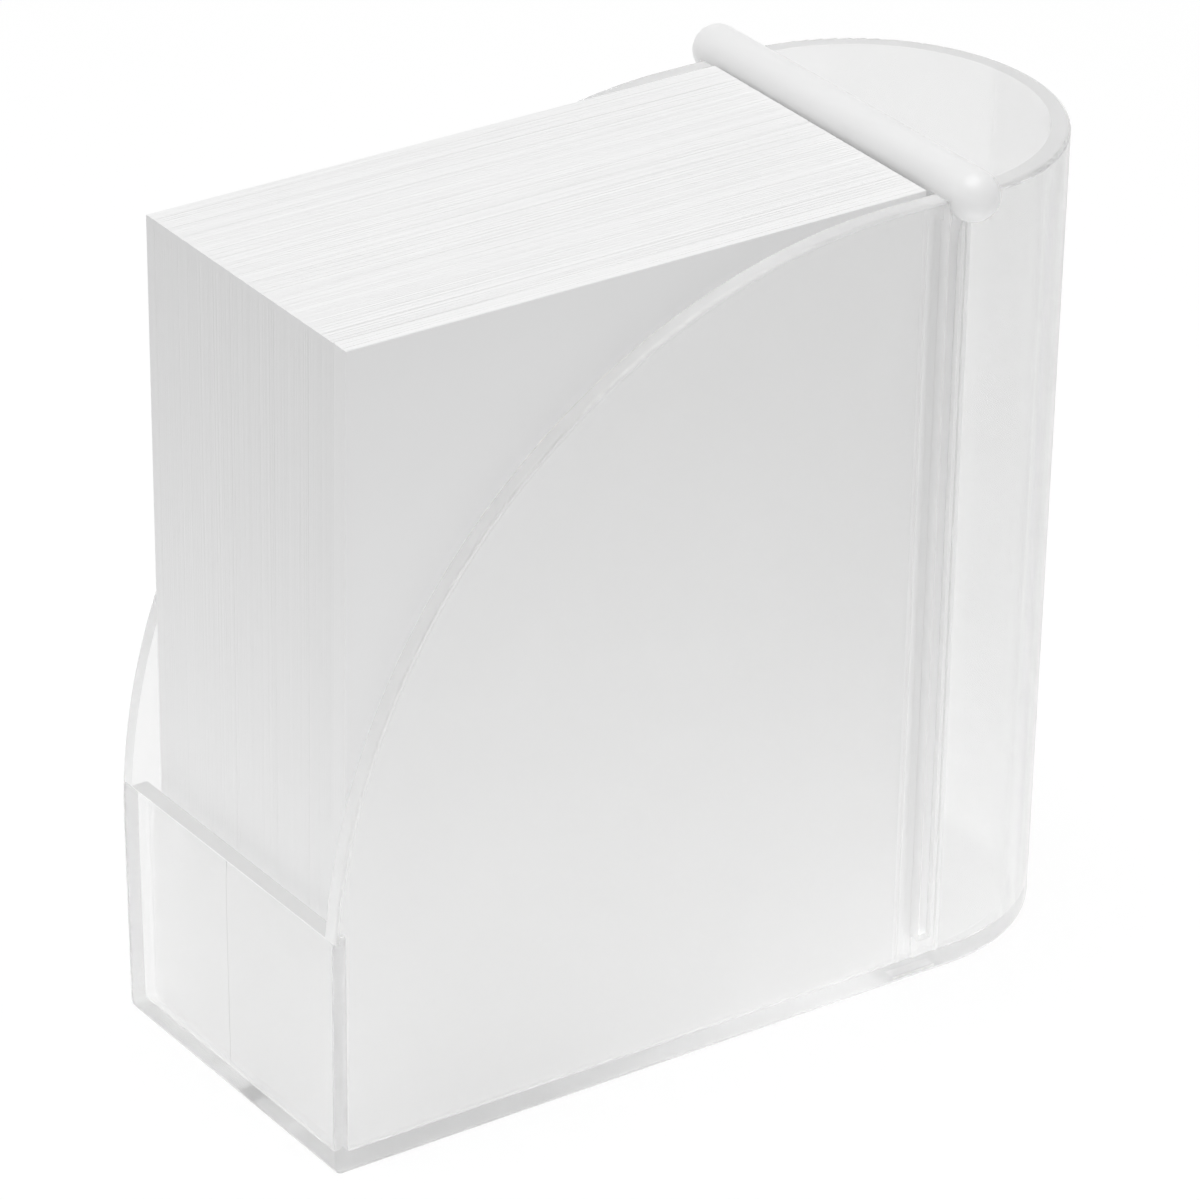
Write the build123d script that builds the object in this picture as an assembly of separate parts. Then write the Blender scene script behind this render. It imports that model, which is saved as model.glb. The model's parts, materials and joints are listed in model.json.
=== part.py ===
from build123d import *
import os
from math import radians, tan

# Note slips: one slip, and how the packets of slips stand in the case
slip_length = 69.6
slip_height = 90.0
slip_rise = 0.3
packet_count = 18
packet_gap = 0.05
stack_skew = 0.4
slip_rib_gap = 0.1
slip_front_gap = 0.57
slip_slot_gap = 0.7
slip_bar_gap = 0.18

# Case: a drafted tub with a swooping rim and a half-round pen well at the back
rim_width = 43.3
wall = 2.05
floor_thickness = 2.0
draft_angle = 0.72
front_wall_height = 27.7
swoop_radius = 68.0
edge_radius = 0.6
foot_radius = 1.2
floor_radius = 0.3
well_setback = 3.05

# Slots for the divider, one in each side wall, and the ribs beside them
slot_width = 1.6
slot_sill = 2.7
rib_width = 1.55
rib_height = 0.6
rib_drop = 2.2

# Divider: a tapered plate that hangs from a round bar across both rims
bar_radius = 2.74
bar_rise = 0.25
bar_overhang = 0.73
plate_foot_thickness = 0.9
plate_slot_clearance = 0.1
plate_wall_clearance = 0.3
plate_floor_gap = 0.4
tongue_inset = 0.63
tongue_sill_gap = 0.3
tongue_flare = 5.0
saddle_clearance = 0.25

# Cuts run this far past the material
overrun = 5.0

# Heights and widths that follow from the sizes above
slope = tan(radians(draft_angle))
rim_height = floor_thickness + slip_height - slip_rise
half_width = rim_width / 2
inner_half_width = half_width - wall
rib_half_width = inner_half_width - rib_height
slot_end = floor_thickness + slot_sill


def draft_inset(height):
    return slope * (rim_height - height)


# Places along the case, from the front face at rim height to the back of the pen well
swoop_run = swoop_radius / tan(radians(90 - draft_angle) / 2)
slips_front_depth = wall + draft_inset(floor_thickness) + slip_front_gap
slips_rear_depth = slips_front_depth + slip_length + stack_skew
slot_depth = slips_rear_depth + slip_slot_gap
well_depth = slot_depth + slot_width + well_setback

# The origin lies under the middle of the case, from the swoop's foremost line to the well's back
front_y = -(swoop_run - swoop_radius + well_depth + half_width) / 2
slips_y = front_y + slips_front_depth
slot_front_y = front_y + slot_depth
slot_rear_y = slot_front_y + slot_width
well_y = front_y + well_depth
bar_y = front_y + slips_rear_depth + slip_bar_gap + bar_radius
bar_z = rim_height + bar_rise
bar_half_length = half_width + bar_overhang


def drafted_prism(half, front, low):
    sides = Polyline((half, well_y), (half, front), (-half, front), (-half, well_y))
    back = ThreePointArc((-half, well_y), (0, well_y + half), (half, well_y))
    outline = make_face(sides.edges() + back.edges())
    block = extrude(Pos(0, 0, low) * outline, amount=rim_height - low)
    top_and_bottom = block.faces().filter_by(Axis.Z)
    upright = [face for face in block.faces() if face not in top_and_bottom]
    return draft(upright, Plane.XY.offset(rim_height), -draft_angle)


def span_rectangle(low_corner, high_corner):
    width = high_corner[0] - low_corner[0]
    height = high_corner[1] - low_corner[1]
    return Pos(*low_corner) * Rectangle(width, height, align=(Align.MIN, Align.MIN))


def extrude_across(side_profile):
    return extrude(Plane.YZ * side_profile, amount=bar_half_length + bar_radius + overrun, both=True)


def make_outer_form():
    # One large round carries the front face up into the level rim
    form = drafted_prism(half_width, front_y, 0)
    rim_front_edge = form.faces().sort_by(Axis.Z)[-1].edges().sort_by(Axis.Y)[0]
    form = fillet(rim_front_edge, swoop_radius)

    # The outline of both side faces is softened, and the rim of the well with it
    side_faces = form.faces().sort_by(Axis.X)
    outline_edges = side_faces[0].edges() + side_faces[-1].edges()
    foot_edges = form.faces().sort_by(Axis.Z)[0].edges()
    soft_edges = [form.faces().sort_by(Axis.Z)[-1].edges().sort_by(Axis.Y)[-1]]
    for edge in outline_edges:
        joins_the_well = min((edge @ 0).Y, (edge @ 1).Y) > well_y - edge_radius
        if edge not in foot_edges and not joins_the_well:
            soft_edges.append(edge)
    form = fillet(soft_edges, edge_radius)
    return fillet(form.faces().sort_by(Axis.Z)[0].edges(), foot_radius)


def make_ribs(room):
    # The ribs follow the draft of the walls and end in a round below the rim
    lining = room - drafted_prism(rib_half_width, front_y + wall, floor_thickness)
    round_z = rim_height - rib_drop - rib_width / 2
    profiles = Sketch()
    for rib_y in (slot_front_y - rib_width, slot_rear_y):
        profiles += span_rectangle((rib_y, floor_thickness), (rib_y + rib_width, round_z))
        profiles += Pos(rib_y + rib_width / 2, round_z) * Circle(rib_width / 2)
    return lining & extrude_across(profiles)


def make_case():
    # Slips and pens share one room, which is open in front above the low front wall
    room = drafted_prism(inner_half_width, front_y + wall, floor_thickness)
    soft_room = fillet(room.faces().sort_by(Axis.Z)[0].edges(), floor_radius)
    window = drafted_prism(inner_half_width, front_y - overrun, front_wall_height)
    slot_profile = span_rectangle((slot_front_y, slot_end), (slot_rear_y, rim_height + overrun))
    tub = make_outer_form() - soft_room - window + make_ribs(room)
    return tub - extrude_across(slot_profile)


def make_plate():
    # Seen from the side, the rear face is upright and the front face tapers to the foot
    foot_z = floor_thickness + plate_floor_gap
    rear_y = slot_rear_y - plate_slot_clearance
    top_thickness = slot_width - 2 * plate_slot_clearance
    side_points = [
        (rear_y, foot_z),
        (rear_y, bar_z),
        (rear_y - top_thickness, bar_z),
        (rear_y - plate_foot_thickness, foot_z),
    ]
    side_view = extrude_across(make_face(Polyline(*side_points, close=True)))

    # Seen from the front, tongues reach into the slots and flare out to meet the bar's ends
    tongue_foot_z = slot_end + tongue_sill_gap
    flare_z = rim_height - tongue_flare
    foot_half = inner_half_width - draft_inset(foot_z) - plate_wall_clearance
    sill_half = inner_half_width - draft_inset(tongue_foot_z) - plate_wall_clearance
    right_points = [
        (foot_half, foot_z),
        (sill_half, tongue_foot_z),
        (half_width - draft_inset(tongue_foot_z) - tongue_inset, tongue_foot_z),
        (half_width - draft_inset(flare_z) - tongue_inset, flare_z),
        (bar_half_length, bar_z),
    ]
    left_points = [(-x, z) for x, z in reversed(right_points)]
    front_outline = make_face(Polyline(*right_points, *left_points, close=True))
    front_view = extrude(Plane.XZ.offset(-rear_y - overrun) * front_outline, amount=slot_width + 2 * overrun)
    return side_view & front_view


def make_divider():
    # The bar has ball ends, and its underside is relieved to sit on the rims
    capsule = SlotCenterToCenter(2 * bar_half_length, 2 * bar_radius)
    upper_half = capsule & span_rectangle(
        (-bar_half_length - bar_radius, 0), (bar_half_length + bar_radius, bar_radius)
    )
    bar = Pos(0, bar_y, bar_z) * revolve(upper_half, Axis.X)
    saddle_width = half_width - rib_half_width + 2 * saddle_clearance
    saddle = Box(saddle_width, 2 * (bar_radius + overrun), bar_radius + overrun, align=(Align.MIN, Align.CENTER, Align.MAX))
    right_saddle = Pos(rib_half_width - saddle_clearance, bar_y, rim_height) * saddle
    return bar - right_saddle - mirror(right_saddle, Plane.YZ) + make_plate()


def make_packet(number):
    # Packets fan out with the draft of the walls, and the right ones stand a little further forward
    side_gap = rib_height + slip_rib_gap
    foot_half = inner_half_width - draft_inset(floor_thickness) - side_gap
    top_z = floor_thickness + slip_height
    top_half = inner_half_width - draft_inset(top_z) - side_gap
    thickness = (2 * foot_half - (packet_count - 1) * packet_gap) / packet_count
    share = number / (packet_count - 1)
    foot_x = -foot_half + share * (2 * foot_half - thickness)
    top_x = -top_half + share * (2 * top_half - thickness)
    end_points = [
        (foot_x, floor_thickness),
        (foot_x + thickness, floor_thickness),
        (top_x + thickness, top_z),
        (top_x, top_z),
    ]
    end_face = make_face(Polyline(*end_points, close=True))
    front = slips_y + stack_skew * (1 - share)
    return extrude(Plane.XZ.offset(-front) * end_face, amount=-slip_length)


os.makedirs("parts", exist_ok=True)
export_step(make_case(), "parts/case.step")
export_step(make_divider(), "parts/divider.step")
for number in range(packet_count):
    export_step(make_packet(number), f"parts/slips_{number + 1:02d}.step")
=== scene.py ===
import bpy
import json
import math
import random
from mathutils import Matrix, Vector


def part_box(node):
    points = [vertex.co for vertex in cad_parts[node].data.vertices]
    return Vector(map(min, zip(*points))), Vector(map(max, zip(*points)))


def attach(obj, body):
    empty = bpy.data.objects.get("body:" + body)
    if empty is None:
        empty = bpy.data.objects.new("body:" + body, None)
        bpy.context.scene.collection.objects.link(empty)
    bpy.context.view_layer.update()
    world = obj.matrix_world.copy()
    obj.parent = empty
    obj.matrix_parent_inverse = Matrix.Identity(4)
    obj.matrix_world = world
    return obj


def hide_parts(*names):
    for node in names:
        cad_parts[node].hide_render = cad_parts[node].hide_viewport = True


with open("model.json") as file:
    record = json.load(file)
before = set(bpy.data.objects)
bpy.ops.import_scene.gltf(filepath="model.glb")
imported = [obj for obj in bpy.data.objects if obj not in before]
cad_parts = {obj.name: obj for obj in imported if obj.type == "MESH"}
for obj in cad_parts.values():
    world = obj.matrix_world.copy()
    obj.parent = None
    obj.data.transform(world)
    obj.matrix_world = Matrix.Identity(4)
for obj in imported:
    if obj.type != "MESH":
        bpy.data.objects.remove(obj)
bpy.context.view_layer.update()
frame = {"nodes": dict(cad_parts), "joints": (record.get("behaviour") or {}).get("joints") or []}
print("memo box: frame loaded with", len(frame["nodes"]), "solids")


# shader maths and nodes
class Wire:
    def __init__(self, tree, socket):
        self.tree = tree
        self.socket = socket

    def math(self, operation, first, second=0.0):
        node = self.tree.nodes.new("ShaderNodeMath")
        node.operation = operation
        feed(self.tree, node.inputs[0], first)
        feed(self.tree, node.inputs[1], second)
        return Wire(self.tree, node.outputs[0])

    def __add__(self, other):
        return self.math("ADD", self, other)

    def __sub__(self, other):
        return self.math("SUBTRACT", self, other)

    def __rsub__(self, other):
        return self.math("SUBTRACT", other, self)

    def __mul__(self, other):
        return self.math("MULTIPLY", self, other)

    def __truediv__(self, other):
        return self.math("DIVIDE", self, other)

    def __rtruediv__(self, other):
        return self.math("DIVIDE", other, self)

    def __pow__(self, other):
        return self.math("POWER", self, other)

    def __abs__(self):
        return self.math("ABSOLUTE", self)

    __radd__ = __add__
    __rmul__ = __mul__


def feed(tree, socket, value):
    if isinstance(value, Wire):
        tree.links.new(value.socket, socket)
    else:
        socket.default_value = value


class Nodes:
    def __init__(self, tree):
        self.tree = tree
        tree.nodes.clear()

    def node(self, kind, settings=None, inputs=None, output=0):
        made = self.tree.nodes.new("ShaderNode" + kind)
        for name, value in (settings or {}).items():
            setattr(made, name, value)
        for name, value in (inputs or {}).items():
            feed(self.tree, made.inputs[name], value)
        return Wire(self.tree, made.outputs[output]) if made.outputs else None


def newFinish(name):
    material = bpy.data.materials.new(name)
    material.use_nodes = True
    return material, Nodes(material.node_tree)


def grain(nodes, place, scale, detail=2.0, rough=0.5):
    settings = {"noise_dimensions": "3D"}
    inputs = {"Vector": place, "Scale": scale, "Detail": detail, "Roughness": rough}
    return nodes.node("TexNoise", settings, inputs)


def stretch(nodes, place, scale):
    return nodes.node("VectorMath", {"operation": "MULTIPLY"}, {0: place, 1: scale})


def tint(nodes, amount, dark, light):
    return nodes.node("Mix", {"data_type": "RGBA"}, {0: amount, 6: dark, 7: light}, 2)


def relieve(nodes, look, height):
    inputs = {"Strength": look["bumpStrength"], "Distance": look["bumpDistance"], "Height": height}
    return nodes.node("Bump", None, inputs)


# modelling helpers
def pickOnly(piece):
    bpy.ops.object.select_all(action="DESELECT")
    piece.select_set(True)
    bpy.context.view_layer.objects.active = piece


def applyAll(piece):
    pickOnly(piece)
    for modifier in list(piece.modifiers):
        bpy.ops.object.modifier_apply(modifier=modifier.name)


def copySolid(nodeName, pieceName, look):
    piece = bpy.data.objects.new(pieceName, frame["nodes"][nodeName].data.copy())
    bpy.context.scene.collection.objects.link(piece)
    piece.data.materials.clear()
    pickOnly(piece)
    bpy.ops.mesh.customdata_custom_splitnormals_clear()
    bpy.ops.object.mode_set(mode="EDIT")
    bpy.ops.mesh.select_all(action="SELECT")
    bpy.ops.mesh.remove_doubles(threshold=look["mergeDistance"])
    bpy.ops.mesh.dissolve_limited(angle_limit=math.radians(look["flatAngle"]))
    bpy.ops.object.mode_set(mode="OBJECT")
    return piece


def softenEdges(piece, look):
    bevel = piece.modifiers.new("softEdges", "BEVEL")
    bevel.width = look["edgeWidth"]
    bevel.segments = look["edgeSegments"]
    bevel.limit_method = "ANGLE"
    bevel.angle_limit = math.radians(look["edgeAngle"])
    applyAll(piece)


def shadeEvenly(piece, look):
    pickOnly(piece)
    bpy.ops.object.shade_smooth_by_angle(angle=math.radians(look["smoothAngle"]))
    evenNormals = piece.modifiers.new("evenNormals", "WEIGHTED_NORMAL")
    evenNormals.keep_sharp = True
    applyAll(piece)


def seat(piece, body, slotName, finish, *solids):
    piece.data.materials.clear()
    piece.data.materials.append(finish)
    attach(piece, body)
    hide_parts(*solids)


# case
caseLook = {
    "mergeDistance": 1e-6,
    "flatAngle": 0.2,
    "edgeWidth": 0.00012,
    "edgeSegments": 2,
    "edgeAngle": 40,
    "smoothAngle": 32,
    "lineWidth": 0.00012,
    "lineDepth": 0.00002,
    "lineReach": 0.045,
    "lineFacing": 0.9,
    "milk": (0.985, 0.985, 0.985, 1),
    "clearTone": (0.998, 0.998, 0.998, 1),
    # Darker tint for the faces that look up from the wall tops: painted shade
    "paintedRimShade": (0.82, 0.82, 0.82, 1),
    "frostClear": 0.8,
    "edgeClear": 0.2,
    "cover": 0.88,
    "edgeCover": 0.93,
    "lightThrough": 0.86,
    "edgesFrom": 0.0276,
    "rimHeight": 0.0917,
    "draft": 0.01257,
    "ribFaces": (0.0186, 0.0198),
    "ribsFrom": 0.0218,
    "ribsTo": 0.0272,
    "slotFrom": 0.0235,
    "slotTo": 0.0254,
    "swoopTo": 0.02,
    "cloudScale": 90,
    "frostScale": 5200,
    "frostDetail": 3,
    "frostRough": 0.6,
    "frostShare": 0.7,
    "pitScale": 1700,
    "pitShare": 0.3,
    "bumpStrength": 0.25,
    "bumpDistance": 0.00001,
    "roughness": 0.14,
    "roughPlay": 0.05,
    "ior": 1.42,
    "depthTone": (0.5, 0.5, 0.5, 1),
    "depth": 5.0,
}


def cutPartingLine(piece, look):
    # The mould's parting line: a hair-wide groove up the front wall and inside the well
    half = look["lineWidth"] / 2
    pickOnly(piece)
    bpy.ops.object.mode_set(mode="EDIT")
    for side in (-half, half):
        bpy.ops.mesh.select_all(action="SELECT")
        bpy.ops.mesh.bisect(plane_co=(side, 0, 0), plane_no=(1, 0, 0))
    bpy.ops.mesh.select_mode(type="FACE")
    bpy.ops.mesh.select_all(action="DESELECT")
    bpy.ops.object.mode_set(mode="OBJECT")
    for face in piece.data.polygons:
        onLine = abs(face.center.x) < half and face.normal.y < -look["lineFacing"]
        face.select = onLine and abs(face.center.y) > look["lineReach"]
    bpy.ops.object.mode_set(mode="EDIT")
    bpy.ops.mesh.extrude_region_move(TRANSFORM_OT_translate={"value": (0, look["lineDepth"], 0)})
    bpy.ops.object.mode_set(mode="OBJECT")


class CasePlaces:
    # Masks for parts of the moulding, from where a point lies and which way it faces
    def __init__(self, nodes, look):
        self.look = look
        self.place = nodes.node("TexCoord", output=3)
        facing = nodes.node("NewGeometry", output="Normal")
        self.across = abs(nodes.node("SeparateXYZ", None, {0: self.place}, 0))
        self.along = nodes.node("SeparateXYZ", None, {0: self.place}, 1)
        self.height = nodes.node("SeparateXYZ", None, {0: self.place}, 2)
        self.backward = nodes.node("SeparateXYZ", None, {0: facing}, 1)
        self.upward = nodes.node("SeparateXYZ", None, {0: facing}, 2)
        self.high = self.height.math("GREATER_THAN", self.height, look["edgesFrom"])

    def between(self, value, low, high):
        return value.math("GREATER_THAN", value, low) * value.math("LESS_THAN", value, high)

    def upperEdges(self):
        # The rim and the front wall's top: all that faces up from the front wall's height
        return self.upward.math("MAXIMUM", self.upward, 0.0) ** 2 * self.high

    def swoop(self):
        # The curved edges of the side walls, where they face the front
        frontward = self.backward.math("MAXIMUM", self.backward * -1, 0.0) ** 2
        inFront = self.along.math("LESS_THAN", self.along, self.look["swoopTo"])
        return frontward * self.high * inFront

    def ribs(self):
        # The ribs stand inside the walls, which lean with the draft
        upright = self.across + (self.look["rimHeight"] - self.height) * self.look["draft"]
        onFaces = self.between(upright, *self.look["ribFaces"])
        return onFaces * self.between(self.along, self.look["ribsFrom"], self.look["ribsTo"])

    def slotCheeks(self):
        inSlot = self.between(self.along, self.look["slotFrom"], self.look["slotTo"])
        return self.backward ** 2 * inSlot


def frostedPlastic(look):
    # Hazy moulded walls with denser edges, ribs and slots, and painted shade on the upward-facing tops
    finish, nodes = newFinish("frostedPlastic")
    places = CasePlaces(nodes, look)
    edge = places.upperEdges()
    dense = edge
    for part in (places.swoop(), places.ribs(), places.slotCheeks()):
        dense = dense.math("MAXIMUM", dense, part)
    cloud = grain(nodes, places.place, look["cloudScale"])
    frost = grain(nodes, places.place, look["frostScale"], look["frostDetail"], look["frostRough"])
    pits = grain(nodes, places.place, look["pitScale"])
    haze = tint(nodes, cloud, look["milk"], look["clearTone"])
    # Painted shade: the faces that look up from the wall tops, the rim and the front wall's top, are
    # tinted darker
    color = tint(nodes, edge, haze, look["paintedRimShade"])
    cover = dense * (look["edgeCover"] - look["cover"]) + look["cover"]
    bump = relieve(nodes, look, frost * look["frostShare"] + pits * look["pitShare"])
    play = look["roughPlay"]
    roughness = cloud * play + frost * play + (look["roughness"] - play)
    shaders = []
    for clear in (look["frostClear"], look["edgeClear"]):
        shaders.append(nodes.node("BsdfPrincipled", None, {
            "Base Color": color,
            "Roughness": roughness,
            "IOR": look["ior"],
            "Transmission Weight": clear,
            "Alpha": cover,
            "Normal": bump,
        }))
    surface = nodes.node("MixShader", None, {0: dense, 1: shaders[0], 2: shaders[1]})
    # Most light on its way to the slips passes the walls, in place of scattering through them
    shadow = nodes.node("LightPath", output="Is Shadow Ray")
    diffuse = nodes.node("LightPath", output="Is Diffuse Ray")
    passing = shadow.math("MAXIMUM", shadow, diffuse) * look["lightThrough"]
    letThrough = nodes.node("BsdfTransparent")
    surface = nodes.node("MixShader", None, {0: passing, 1: surface, 2: letThrough})
    depth = nodes.node("VolumeAbsorption", None, {"Color": look["depthTone"], "Density": look["depth"]})
    nodes.node("OutputMaterial", None, {"Surface": surface, "Volume": depth})
    return finish


caseShell = copySolid("case", "caseShell", caseLook)
softenEdges(caseShell, caseLook)
cutPartingLine(caseShell, caseLook)
shadeEvenly(caseShell, caseLook)
seat(caseShell, "case", "frosted_plastic", frostedPlastic(caseLook), "case")
print("memo box: case,", len(caseShell.data.polygons), "faces")


# divider
dividerLook = {
    "mergeDistance": 1e-6,
    "flatAngle": 0.2,
    "edgeWidth": 0.0002,
    "edgeSegments": 2,
    "edgeAngle": 40,
    "smoothAngle": 32,
    "cloudScale": 60,
    "peelScale": 900,
    "darkTone": (0.89, 0.89, 0.89, 1),
    "lightTone": (0.91, 0.91, 0.91, 1),
    "bumpStrength": 0.1,
    "bumpDistance": 0.00002,
    "roughness": 0.3,
    "roughPlay": 0.08,
    "scatterRadius": (0.008, 0.008, 0.008),
}


def whitePlastic(look):
    # Opaque white with a slight orange peel, and soft where light enters it
    finish, nodes = newFinish("whitePlastic")
    place = nodes.node("TexCoord", output=3)
    cloud = grain(nodes, place, look["cloudScale"])
    orangePeel = grain(nodes, place, look["peelScale"])
    shader = nodes.node("BsdfPrincipled", None, {
        "Base Color": tint(nodes, cloud, look["darkTone"], look["lightTone"]),
        "Roughness": orangePeel * look["roughPlay"] + (look["roughness"] - look["roughPlay"] / 2),
        "Subsurface Weight": 1.0,
        "Subsurface Radius": look["scatterRadius"],
        "Subsurface Scale": 1.0,
        "Normal": relieve(nodes, look, orangePeel),
    })
    nodes.node("OutputMaterial", None, {"Surface": shader})
    return finish


dividerBar = copySolid("divider", "dividerBar", dividerLook)
softenEdges(dividerBar, dividerLook)
shadeEvenly(dividerBar, dividerLook)
seat(dividerBar, "divider", "white_plastic", whitePlastic(dividerLook), "divider")
print("memo box: divider,", len(dividerBar.data.polygons), "faces")


# note slips
slipLook = {
    "packets": 18,
    "perPacket": 20,
    "seed": 18,
    "cuts": 4,
    "fill": 0.99,
    "gapPower": 1.2,
    "topPlay": 0.00002,
    "lowShare": 0.05,
    "lastLowShare": 0.35,
    "lowDrop": 0.00006,
    "lowLeast": 0.3,
    "frontPlay": 0.00001,
    "backShare": 0.02,
    "backDrop": 0.00002,
    "fibreScale": 2600,
    "fibreDetail": 4,
    "fibreRough": 0.65,
    "fibreShare": 0.3,
    "cloudScale": 220,
    "cloudShare": 0.3,
    "sheetStretch": (6200, 30, 30),
    "sheetShare": 0.4,
    "darkTone": (0.91, 0.91, 0.91, 1),
    "lightTone": (0.945, 0.945, 0.945, 1),
    "bumpStrength": 0.12,
    "bumpDistance": 0.00001,
    "roughness": 0.85,
    "roughPlay": 0.1,
    "gloss": 0.2,
}
slipDraw = random.Random(slipLook["seed"])


def notePaper(look):
    # Fibres, soft clouds and a tone that changes from sheet to sheet
    finish, nodes = newFinish("notePaper")
    place = nodes.node("TexCoord", output=3)
    fibre = grain(nodes, place, look["fibreScale"], look["fibreDetail"], look["fibreRough"])
    cloud = grain(nodes, place, look["cloudScale"])
    sheetTone = grain(nodes, stretch(nodes, place, look["sheetStretch"]), 1.0, 1)
    tone = fibre * look["fibreShare"] + cloud * look["cloudShare"] + sheetTone * look["sheetShare"]
    shader = nodes.node("BsdfPrincipled", None, {
        "Base Color": tint(nodes, tone, look["darkTone"], look["lightTone"]),
        "Roughness": fibre * look["roughPlay"] + look["roughness"],
        "Specular IOR Level": look["gloss"],
        "Normal": relieve(nodes, look, fibre),
    })
    nodes.node("OutputMaterial", None, {"Surface": shader})
    return finish


def modelSlip(length, height):
    # One sheet of unit thickness, divided along its length so that its top edge can waver
    bpy.ops.object.select_all(action="DESELECT")
    bpy.ops.mesh.primitive_cube_add(size=1)
    slip = bpy.context.active_object
    slip.scale = (1, length, height)
    slip.location = (0.5, length / 2, height / 2)
    bpy.ops.object.transform_apply(location=True, rotation=True, scale=True)
    bpy.ops.object.mode_set(mode="EDIT")
    bpy.ops.mesh.select_mode(type="EDGE")
    bpy.ops.mesh.select_all(action="DESELECT")
    bpy.ops.object.mode_set(mode="OBJECT")
    for edge in slip.data.edges:
        first, second = (slip.data.vertices[index].co for index in edge.vertices)
        edge.select = abs(first.y - second.y) > length / 2
    bpy.ops.object.mode_set(mode="EDIT")
    bpy.ops.mesh.subdivide(number_cuts=slipLook["cuts"])
    bpy.ops.object.mode_set(mode="OBJECT")
    return slip


def placeSlip(slip, footX, topX, thickness, frontY, floorZ, height, lowShare):
    # A few sheets stand a little lower or further back than their neighbours
    low = slipDraw.random() < lowShare
    back = slipDraw.random() < slipLook["backShare"]
    topDrop = slipLook["lowDrop"] * slipDraw.random() if low else 0
    frontDrop = slipLook["backDrop"] * slipDraw.random() if back else 0
    waver = {}
    for vertex in slip.data.vertices:
        share = vertex.co.z / height
        along = round(vertex.co.y, 6)
        if share > 0.5:
            if along not in waver:
                play = slipLook["topPlay"] * slipDraw.random()
                waver[along] = play + topDrop * slipDraw.uniform(slipLook["lowLeast"], 1)
            vertex.co.z -= waver[along]
        vertex.co.x = footX + (topX - footX) * share + vertex.co.x * thickness
        if along == 0:
            vertex.co.y += frontDrop
        vertex.co.y += frontY
        vertex.co.z += floorZ


def packetNode(number):
    return "slips_" + str(number).zfill(2)


def packetPlace(number):
    # A packet leans with the draft, along the line that its slide follows
    node = packetNode(number)
    low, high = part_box(node)
    joint = next(item for item in frame["joints"] if item["child"] == node)
    lean = joint["axis"][0] / joint["axis"][2]
    height = high.z - low.z
    width = high.x - low.x - abs(lean) * height
    footX = low.x if lean > 0 else low.x - lean * height
    return footX, footX + lean * height, width, low.y, low.z, height


lastNumber = slipLook["packets"]
packets = {number: packetPlace(number) for number in range(1, lastNumber + 1)}
topPitch = (packets[lastNumber][1] - packets[1][1]) / (lastNumber - 1)
boxLow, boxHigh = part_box("slips_01")
master = modelSlip(boxHigh.y - boxLow.y, boxHigh.z - boxLow.z)
paper = notePaper(slipLook)
for number, (footX, topX, width, frontY, floorZ, height) in packets.items():
    count = slipLook["perPacket"]
    thickness = width / count * slipLook["fill"]
    lastOne = number == lastNumber
    lowShare = slipLook["lastLowShare"] if lastOne else slipLook["lowShare"]
    # The tops spread unevenly as far as the next packet, and the last packet ends at its own side
    topRoom = (width if lastOne else topPitch) - count * thickness
    gaps = [slipDraw.random() ** slipLook["gapPower"] for index in range(count)]
    if lastOne:
        gaps[-1] = 0
    slipTop = topX
    slips = []
    for index in range(count):
        slip = master.copy()
        slip.data = master.data.copy()
        bpy.context.scene.collection.objects.link(slip)
        slipFoot = footX + width * index / count
        frontStep = frontY + slipLook["frontPlay"] * slipDraw.uniform(0, 1)
        placeSlip(slip, slipFoot, slipTop, thickness, frontStep, floorZ, height, lowShare)
        slipTop += thickness + topRoom * gaps[index] / sum(gaps)
        slips.append(slip)
    bpy.ops.object.select_all(action="DESELECT")
    for slip in slips:
        slip.select_set(True)
    bpy.context.view_layer.objects.active = slips[0]
    bpy.ops.object.join()
    packet = bpy.context.active_object
    packet.name = "slipPacket" + str(number).zfill(2)
    node = packetNode(number)
    seat(packet, node, "paper", paper, node)
bpy.data.objects.remove(master)
print("memo box: slips,", len(packets) * slipLook["perPacket"], "sheets")


# floor, light and camera
studio = {
    "floorSize": 4.0,
    "floorDrop": 0.0001,
    "floorBounce": (0.74, 0.74, 0.74, 1),
    "floorShade": (0.2, 0.2, 0.2, 1),
    "floorWhite": 0.83,
    "tableGlow": 1.8,
    "tableRadius": 0.08,
    "tableCentre": (0.014, -0.036, 0),
    "tableHeart": 0.25,
    "sky": 0.46,
    "lampHeight": 0.9,
    "lampOffset": (0.04, -0.08),
    "lampSize": 0.7,
    "lampPower": 4.4,
}


def seenDirectly(nodes):
    camera = nodes.node("LightPath", output="Is Camera Ray")
    glossy = nodes.node("LightPath", output="Is Glossy Ray")
    through = nodes.node("LightPath", output="Is Transmission Ray")
    return camera.math("MAXIMUM", camera.math("MAXIMUM", camera, glossy), through)


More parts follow.
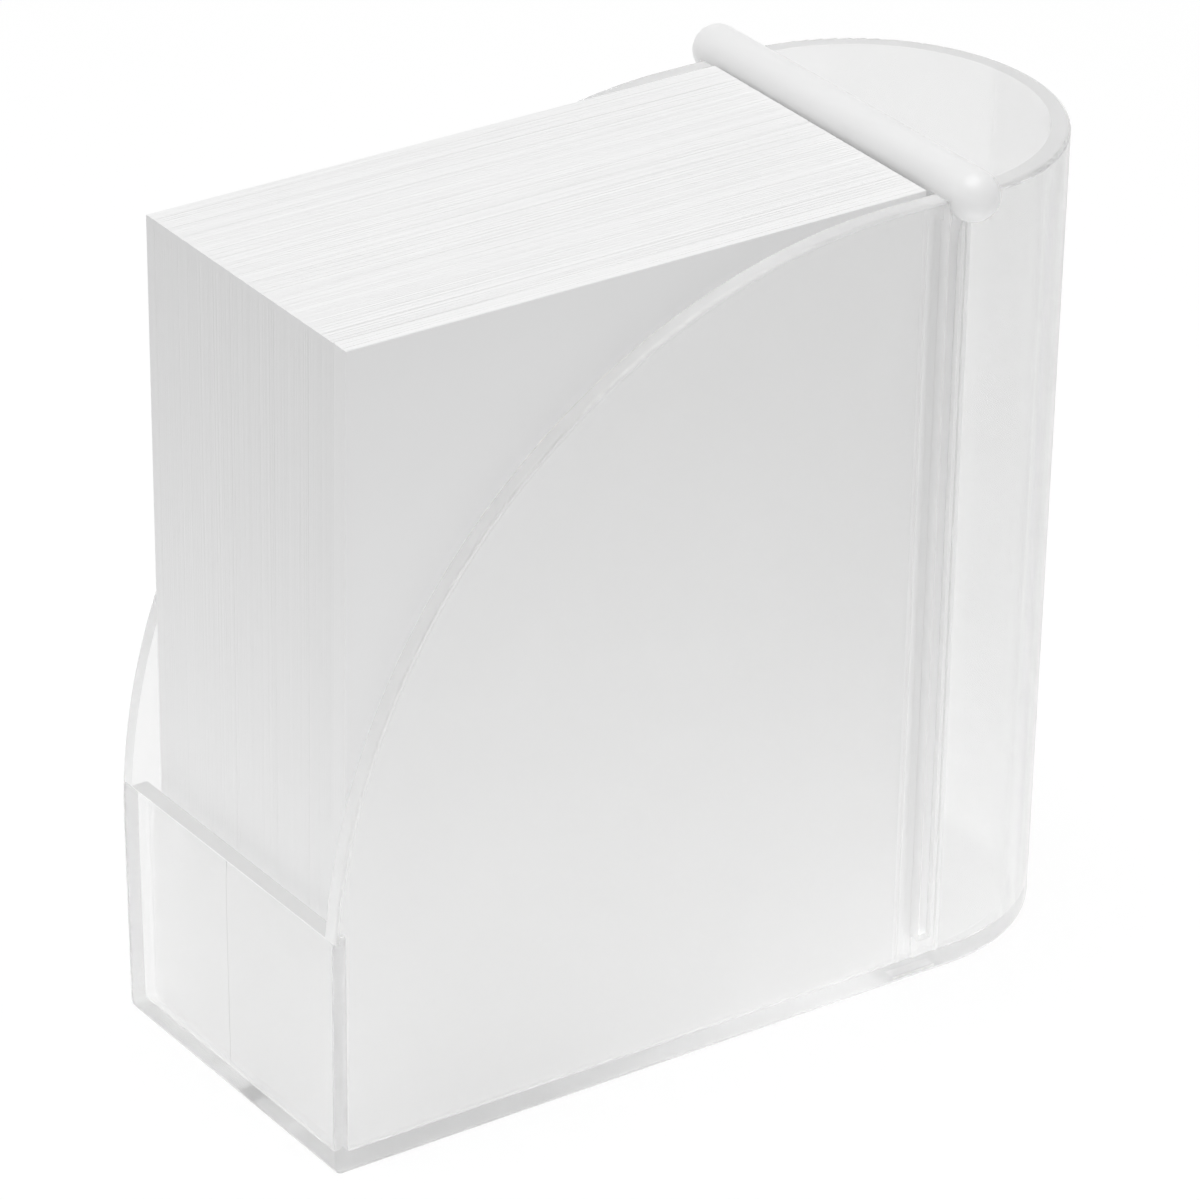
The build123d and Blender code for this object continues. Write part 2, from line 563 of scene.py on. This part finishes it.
def floorFinish():
    # Plain and pale where it is seen; unseen, it also gives off a soft ring of light around the box
    finish, nodes = newFinish("paleFloor")
    seen = seenDirectly(nodes)
    place = nodes.node("TexCoord", output=3)
    ends = {0: place, 1: studio["tableCentre"]}
    offset = nodes.node("VectorMath", {"operation": "DISTANCE"}, ends, 1)
    reach = (offset / studio["tableRadius"]) ** 2
    fade = (reach + studio["tableHeart"]) * reach.math("EXPONENT", reach * -1)
    bounce = nodes.node("BsdfDiffuse", None, {"Color": studio["floorBounce"]})
    table = nodes.node("Emission", None, {"Strength": studio["tableGlow"]})
    ring = nodes.node("MixShader", None, {0: fade, 2: table})
    lit = nodes.node("AddShader", None, {0: bounce, 1: ring})
    shade = nodes.node("BsdfDiffuse", None, {"Color": studio["floorShade"]})
    white = nodes.node("Emission", None, {"Strength": studio["floorWhite"]})
    pale = nodes.node("AddShader", None, {0: shade, 1: white})
    surface = nodes.node("MixShader", None, {0: seen, 1: lit, 2: pale})
    nodes.node("OutputMaterial", None, {"Surface": surface})
    return finish


bpy.ops.object.select_all(action="DESELECT")
bpy.ops.mesh.primitive_plane_add(size=studio["floorSize"], location=(0, 0, -studio["floorDrop"]))
floor = bpy.context.active_object
floor.name = "floor"
floor.data.materials.append(floorFinish())

# The sky is even for the light it gives, and white near the horizon where it is seen
world = bpy.data.worlds.new("studioWorld")
bpy.context.scene.world = world
world.use_nodes = True
sky = Nodes(world.node_tree)
seen = seenDirectly(sky)
direction = sky.node("TexCoord", output=0)
rise = sky.node("SeparateXYZ", None, {0: direction}, 2)
rise = rise.math("MAXIMUM", rise, 0.0)
white = (1 - rise) ** 2 * (1 - studio["sky"])
strength = seen * white + studio["sky"]
background = sky.node("Background", None, {"Color": (1, 1, 1, 1), "Strength": strength})
sky.node("OutputWorld", None, {"Surface": background})

bpy.ops.object.light_add(type="AREA", location=(*studio["lampOffset"], studio["lampHeight"]))
lamp = bpy.context.active_object
lamp.name = "overheadLamp"
lamp.data.size = studio["lampSize"]
lamp.data.energy = studio["lampPower"]

view = {
    "place": (0.54322, -0.37921, 0.38730),
    "azimuth": 55.36,
    "elevation": 27.43,
    "roll": 0.7018,
    "lens": 214.087,
    "sensor": 36.0,
    "nearest": 0.01,
    "farthest": 20,
}
bpy.ops.object.camera_add()
camera = bpy.context.active_object
camera.name = "photoCamera"
turn = Matrix.Rotation(math.radians(view["azimuth"]), 4, "Z")
tilt = Matrix.Rotation(math.radians(90 - view["elevation"]), 4, "X")
roll = Matrix.Rotation(math.radians(view["roll"]), 4, "Z")
camera.matrix_world = Matrix.Translation(view["place"]) @ turn @ tilt @ roll
camera.data.lens = view["lens"]
camera.data.sensor_width = view["sensor"]
camera.data.clip_start = view["nearest"]
camera.data.clip_end = view["farthest"]
bpy.context.scene.camera = camera
bpy.context.scene.view_settings.view_transform = "Standard"
print("memo box: stage, light and camera")
